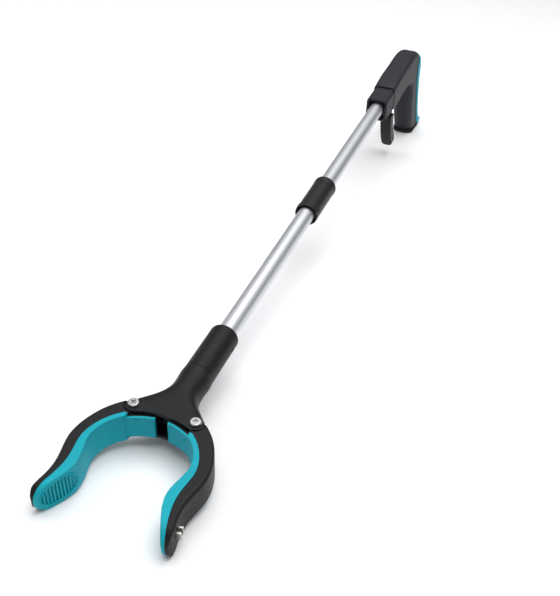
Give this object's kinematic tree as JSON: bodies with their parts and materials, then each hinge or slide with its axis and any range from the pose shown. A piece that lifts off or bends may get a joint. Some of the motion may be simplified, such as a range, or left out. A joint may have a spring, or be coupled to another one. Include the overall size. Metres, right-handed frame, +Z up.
{
  "type": "reacher grabber",
  "caption": "Folding reacher grabber with pistol-grip trigger, aluminium tube, sliding lock collar, turning head and two curved jaws with ribbed soft liners.",
  "frame": {"origin": "middle of the tool's footprint on the floor it rests on, under the middle of its length", "axes": "+X along the tool towards the jaws, +Y to the left of someone holding the grip, +Z up from the floor. The tube slopes down towards the jaws by 7 degrees, because the tool rests on its jaw tips and on the base of its grip."},
  "size_m": [0.8804, 0.1031, 0.1252],
  "materials": {
    "housing": "matt black moulded plastic",
    "soft_teal": "soft-touch moulded rubber",
    "tube": "satin anodised",
    "steel": "bright zinc plated",
    "ferrite": "dark sintered ferrite"
  },
  "bodies": {
    "handle": {"handle_left_half": "housing", "handle_right_half": "housing", "grip_overmould": "soft_teal", "grip_base_cap": "housing", "nose_block": "housing", "nose_tube_pin": "steel", "upper_tube": "tube", "fold_rear_plug": "housing", "fold_pin": "steel", "handle_screws": "steel", "trigger_pin": "steel", "trigger_spring": "steel"},
    "trigger": {"trigger": "housing"},
    "rear_wire": {"wire_rear": "steel", "wire_nipple": "steel"},
    "collar": {"lock_collar": "housing", "collar_button": "housing"},
    "front": {"lower_tube": "tube", "neck_connector": "housing", "neck_tube_pin": "steel", "fold_front_plug": "housing", "wire_fold": "steel"},
    "head": {"head_upper_shell": "housing", "head_lower_shell": "housing", "jaw_pivot_screws": "steel", "jaw_pivot_nuts": "steel", "head_screws": "steel", "head_retaining_ring": "steel"},
    "slider": {"slider": "housing", "wire_front": "steel"},
    "jaw_left": {"jaw_left_shell": "housing", "jaw_left_liner": "soft_teal", "jaw_left_drive_pin": "steel", "magnet_ferrite": "ferrite", "magnet_pole_plates": "steel"},
    "jaw_right": {"jaw_right_shell": "housing", "jaw_right_liner": "soft_teal", "jaw_right_drive_pin": "steel"}
  },
  "joints": [
    {"name": "trigger_pull", "type": "hinge", "parent": "handle", "child": "trigger", "pos_m": [-0.25229, 0, 0.10691], "axis": [0, 1, 0], "range_deg": [0, 22], "stiffness_Nm_per_rad": 0.25, "springref_deg": -20.05},
    {"name": "rear_wire_slide", "type": "slide", "parent": "handle", "child": "rear_wire", "axis": [-0.9925, 0, 0.1219], "range_m": [0, 0.0042]},
    {"name": "collar_slide", "type": "slide", "parent": "handle", "child": "collar", "axis": [-0.9925, 0, 0.1219], "range_m": [0, 0.0576]},
    {"name": "fold", "type": "hinge", "parent": "handle", "child": "front", "pos_m": [0.04411, 0, 0.06749], "axis": [0, -1, 0], "range_deg": [0, 158], "deforming": ["wire_fold"]},
    {"name": "head_turn", "type": "hinge", "parent": "front", "child": "head", "pos_m": [0.29425, 0, 0.02872], "axis": [0.9925, 0, -0.1219], "range_deg": [0, 90]},
    {"name": "slider_slide", "type": "slide", "parent": "head", "child": "slider", "axis": [-0.9925, 0, 0.1219], "range_m": [0, 0.0042]},
    {"name": "jaw_left_swing", "type": "hinge", "parent": "head", "child": "jaw_left", "pos_m": [0.34785, 0.024, 0.02213], "axis": [-0.1219, 0, -0.9925], "range_deg": [0, 26]},
    {"name": "jaw_right_swing", "type": "hinge", "parent": "head", "child": "jaw_right", "pos_m": [0.34785, -0.024, 0.02213], "axis": [0.1219, 0, 0.9925], "range_deg": [0, 26]}
  ],
  "couplings": [
    {"joint": "rear_wire_slide", "follows": "trigger_pull", "m_per_rad": 0.010932},
    {"joint": "slider_slide", "follows": "trigger_pull", "m_per_rad": 0.010932},
    {"joint": "jaw_left_swing", "follows": "trigger_pull", "ratio": 1.1818},
    {"joint": "jaw_right_swing", "follows": "trigger_pull", "ratio": 1.1818},
    {"joint": "collar_slide", "follows": "fold", "m_per_rad": 0.020887}
  ]
}
